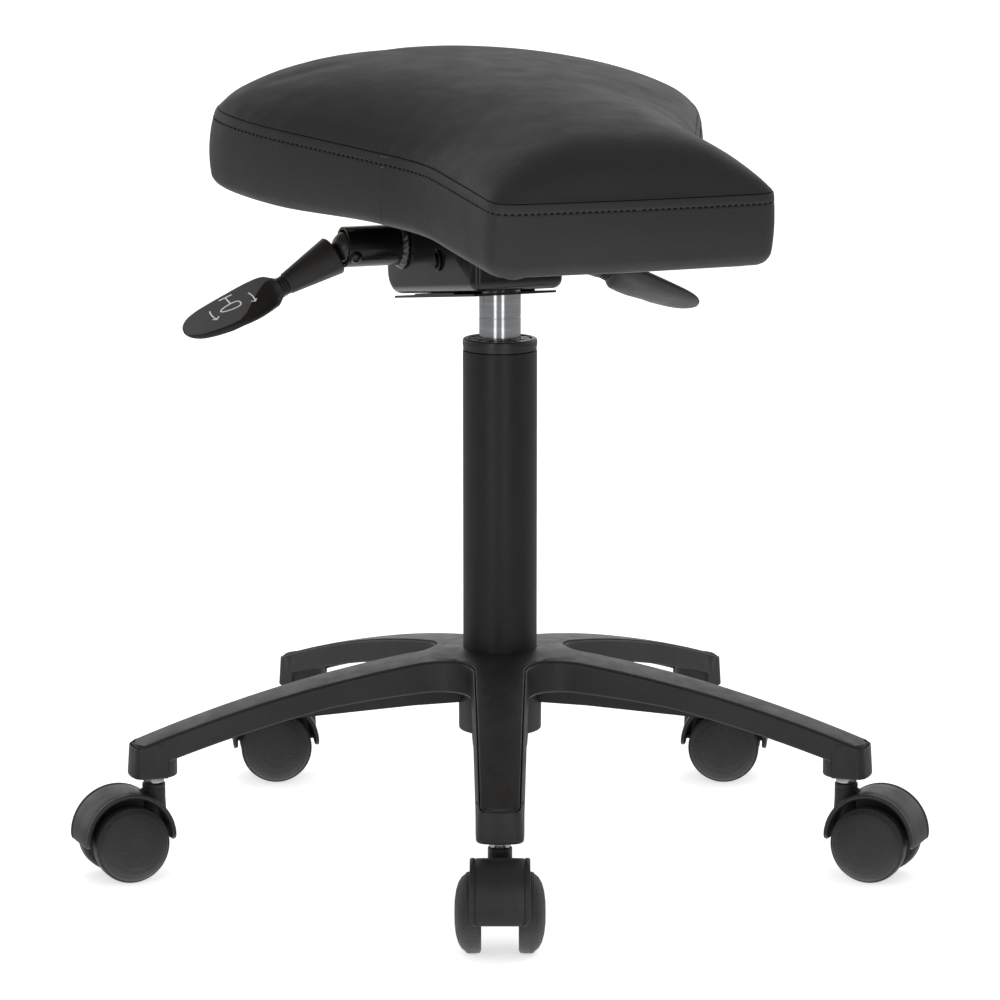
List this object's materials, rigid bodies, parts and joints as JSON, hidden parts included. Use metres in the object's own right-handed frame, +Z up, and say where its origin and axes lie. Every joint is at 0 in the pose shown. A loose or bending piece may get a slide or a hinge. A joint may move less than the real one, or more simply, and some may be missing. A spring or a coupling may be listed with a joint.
{
  "type": "saddle stool",
  "caption": "Height-adjustable saddle stool: waisted tilting seat with side levers, gas lift column and star base on casters.",
  "frame": {"origin": "on the column's axis at floor level", "axes": "+Z up along the column, -Y along the front leg of the base, +X to the right in a view from the front"},
  "size_m": [0.5728, 0.5175, 0.5391],
  "materials": {
    "nylon": "fine-grained black glass-filled nylon, moulded",
    "wheel_plastic": "satin black nylon",
    "bush_plastic": "smooth black acetal",
    "handle_plastic": "fine-grained black polypropylene",
    "column_paint": "satin black powder coat on steel tube",
    "housing_paint": "gloss black stove enamel on pressed steel",
    "chrome": "ground and hard-chromed steel",
    "steel": "bright zinc-plated steel",
    "board": "moulded plywood, unfinished",
    "upholstery": "smooth black upholstery leather over foam"
  },
  "bodies": {
    "base": {"star_base": "nylon", "column_tube": "column_paint", "guide_bush": "bush_plastic", "thrust_bearing": "steel"},
    "rod": {"piston_rod": "steel", "retaining_clip": "steel"},
    "mechanism": {"pressure_tube": "chrome", "taper_socket": "housing_paint", "tilt_housing": "housing_paint", "bottom_plate": "housing_paint", "lever_tube_left": "housing_paint", "lever_tube_right": "housing_paint", "pivot_axle": "steel", "snap_ring_left": "housing_paint", "snap_ring_right": "housing_paint", "clamp_bracket": "housing_paint", "clamp_bolt": "steel", "lever_pin_left": "housing_paint", "lever_pin_right": "housing_paint"},
    "seat": {"seat_plate": "housing_paint", "lock_plate": "steel", "seat_board": "board", "seat_cushion": "upholstery", "seat_bolt_1": "steel", "seat_bolt_2": "steel", "seat_bolt_3": "steel", "seat_bolt_4": "steel"},
    "left_lever": {"left_lever_arm": "housing_paint", "left_lever_handle": "handle_plastic"},
    "right_lever": {"right_lever_arm": "housing_paint", "right_lever_handle": "handle_plastic"},
    "rocker": {"release_rocker": "steel"},
    "button": {"gas_lift_button": "steel"},
    "cam": {"clamp_cam": "steel"},
    "front_caster": {"front_stem": "chrome", "front_hood": "nylon", "front_axle": "steel"},
    "front_wheel_left": {"front_wheel_left": "wheel_plastic"},
    "front_wheel_right": {"front_wheel_right": "wheel_plastic"},
    "front_right_caster": {"front_right_stem": "chrome", "front_right_hood": "nylon", "front_right_axle": "steel"},
    "front_right_wheel_left": {"front_right_wheel_left": "wheel_plastic"},
    "front_right_wheel_right": {"front_right_wheel_right": "wheel_plastic"},
    "rear_right_caster": {"rear_right_stem": "chrome", "rear_right_hood": "nylon", "rear_right_axle": "steel"},
    "rear_right_wheel_left": {"rear_right_wheel_left": "wheel_plastic"},
    "rear_right_wheel_right": {"rear_right_wheel_right": "wheel_plastic"},
    "rear_left_caster": {"rear_left_stem": "chrome", "rear_left_hood": "nylon", "rear_left_axle": "steel"},
    "rear_left_wheel_left": {"rear_left_wheel_left": "wheel_plastic"},
    "rear_left_wheel_right": {"rear_left_wheel_right": "wheel_plastic"},
    "front_left_caster": {"front_left_stem": "chrome", "front_left_hood": "nylon", "front_left_axle": "steel"},
    "front_left_wheel_left": {"front_left_wheel_left": "wheel_plastic"},
    "front_left_wheel_right": {"front_left_wheel_right": "wheel_plastic"}
  },
  "joints": [
    {"name": "seat_swivel", "type": "hinge", "parent": "base", "child": "rod", "pos_m": [0, 0, 0.0715], "axis": [0, 0, 1], "continuous": true},
    {"name": "height", "type": "slide", "parent": "rod", "child": "mechanism", "axis": [0, 0, 1], "range_m": [0, 0.19]},
    {"name": "seat_tilt", "type": "hinge", "parent": "mechanism", "child": "seat", "pos_m": [-0.01143, 0.02828, 0.4005], "axis": [0.9272, 0.3746, 0], "range_deg": [-14, 4]},
    {"name": "left_lever_lift", "type": "hinge", "parent": "mechanism", "child": "left_lever", "pos_m": [-0.1028, 0.06492, 0.4038], "axis": [-0.3746, 0.9272, 0], "range_deg": [0, 9], "stiffness_Nm_per_rad": 0.6, "springref_deg": -5.73},
    {"name": "right_lever_lift", "type": "hinge", "parent": "mechanism", "child": "right_lever", "pos_m": [0.02886, 0.11811, 0.4038], "axis": [0.3746, -0.9272, 0], "range_deg": [0, 9], "stiffness_Nm_per_rad": 0.6, "springref_deg": -5.73},
    {"name": "rocker_tilt", "type": "hinge", "parent": "mechanism", "child": "rocker", "pos_m": [0.00712, -0.01762, 0.4216], "axis": [0.9272, 0.3746, 0], "range_deg": [-5, 0]},
    {"name": "button_press", "type": "slide", "parent": "mechanism", "child": "button", "axis": [0, 0, -1], "range_m": [0, 0.0018]},
    {"name": "cam_turn", "type": "hinge", "parent": "mechanism", "child": "cam", "pos_m": [-0.04496, 0.06057, 0.41431], "axis": [0.9272, 0.3746, 0], "range_deg": [-18, 0]},
    {"name": "front_swivel", "type": "hinge", "parent": "base", "child": "front_caster", "pos_m": [0, -0.2425, 0.066], "axis": [0, 0, 1], "continuous": true},
    {"name": "front_wheel_left_spin", "type": "hinge", "parent": "front_caster", "child": "front_wheel_left", "pos_m": [0, -0.264, 0.0255], "axis": [1, 0, 0], "continuous": true},
    {"name": "front_wheel_right_spin", "type": "hinge", "parent": "front_caster", "child": "front_wheel_right", "pos_m": [0, -0.264, 0.0255], "axis": [1, 0, 0], "continuous": true},
    {"name": "front_right_swivel", "type": "hinge", "parent": "base", "child": "front_right_caster", "pos_m": [0.23063, -0.07494, 0.066], "axis": [0, 0, 1], "continuous": true},
    {"name": "front_right_wheel_left_spin", "type": "hinge", "parent": "front_right_caster", "child": "front_right_wheel_left", "pos_m": [0.25042, -0.08334, 0.0255], "axis": [0.3907, 0.9205, 0], "continuous": true},
    {"name": "front_right_wheel_right_spin", "type": "hinge", "parent": "front_right_caster", "child": "front_right_wheel_right", "pos_m": [0.25042, -0.08334, 0.0255], "axis": [0.3907, 0.9205, 0], "continuous": true},
    {"name": "rear_right_swivel", "type": "hinge", "parent": "base", "child": "rear_right_caster", "pos_m": [0.14254, 0.19619, 0.066], "axis": [0, 0, 1], "continuous": true},
    {"name": "rear_right_wheel_left_spin", "type": "hinge", "parent": "rear_right_caster", "child": "rear_right_wheel_left", "pos_m": [0.16392, 0.19394, 0.0255], "axis": [0.1045, 0.9945, 0], "continuous": true},
    {"name": "rear_right_wheel_right_spin", "type": "hinge", "parent": "rear_right_caster", "child": "rear_right_wheel_right", "pos_m": [0.16392, 0.19394, 0.0255], "axis": [0.1045, 0.9945, 0], "continuous": true},
    {"name": "rear_left_swivel", "type": "hinge", "parent": "base", "child": "rear_left_caster", "pos_m": [-0.14254, 0.19619, 0.066], "axis": [0, 0, 1], "continuous": true},
    {"name": "rear_left_wheel_left_spin", "type": "hinge", "parent": "rear_left_caster", "child": "rear_left_wheel_left", "pos_m": [-0.16392, 0.19394, 0.0255], "axis": [0.1045, -0.9945, 0], "continuous": true},
    {"name": "rear_left_wheel_right_spin", "type": "hinge", "parent": "rear_left_caster", "child": "rear_left_wheel_right", "pos_m": [-0.16392, 0.19394, 0.0255], "axis": [0.1045, -0.9945, 0], "continuous": true},
    {"name": "front_left_swivel", "type": "hinge", "parent": "base", "child": "front_left_caster", "pos_m": [-0.23063, -0.07494, 0.066], "axis": [0, 0, 1], "continuous": true},
    {"name": "front_left_wheel_left_spin", "type": "hinge", "parent": "front_left_caster", "child": "front_left_wheel_left", "pos_m": [-0.25042, -0.08334, 0.0255], "axis": [0.3907, -0.9205, 0], "continuous": true},
    {"name": "front_left_wheel_right_spin", "type": "hinge", "parent": "front_left_caster", "child": "front_left_wheel_right", "pos_m": [-0.25042, -0.08334, 0.0255], "axis": [0.3907, -0.9205, 0], "continuous": true}
  ],
  "couplings": [
    {"joint": "rocker_tilt", "follows": "right_lever_lift", "ratio": -0.545},
    {"joint": "button_press", "follows": "right_lever_lift", "m_per_rad": 0.0108},
    {"joint": "cam_turn", "follows": "left_lever_lift", "ratio": -2}
  ]
}
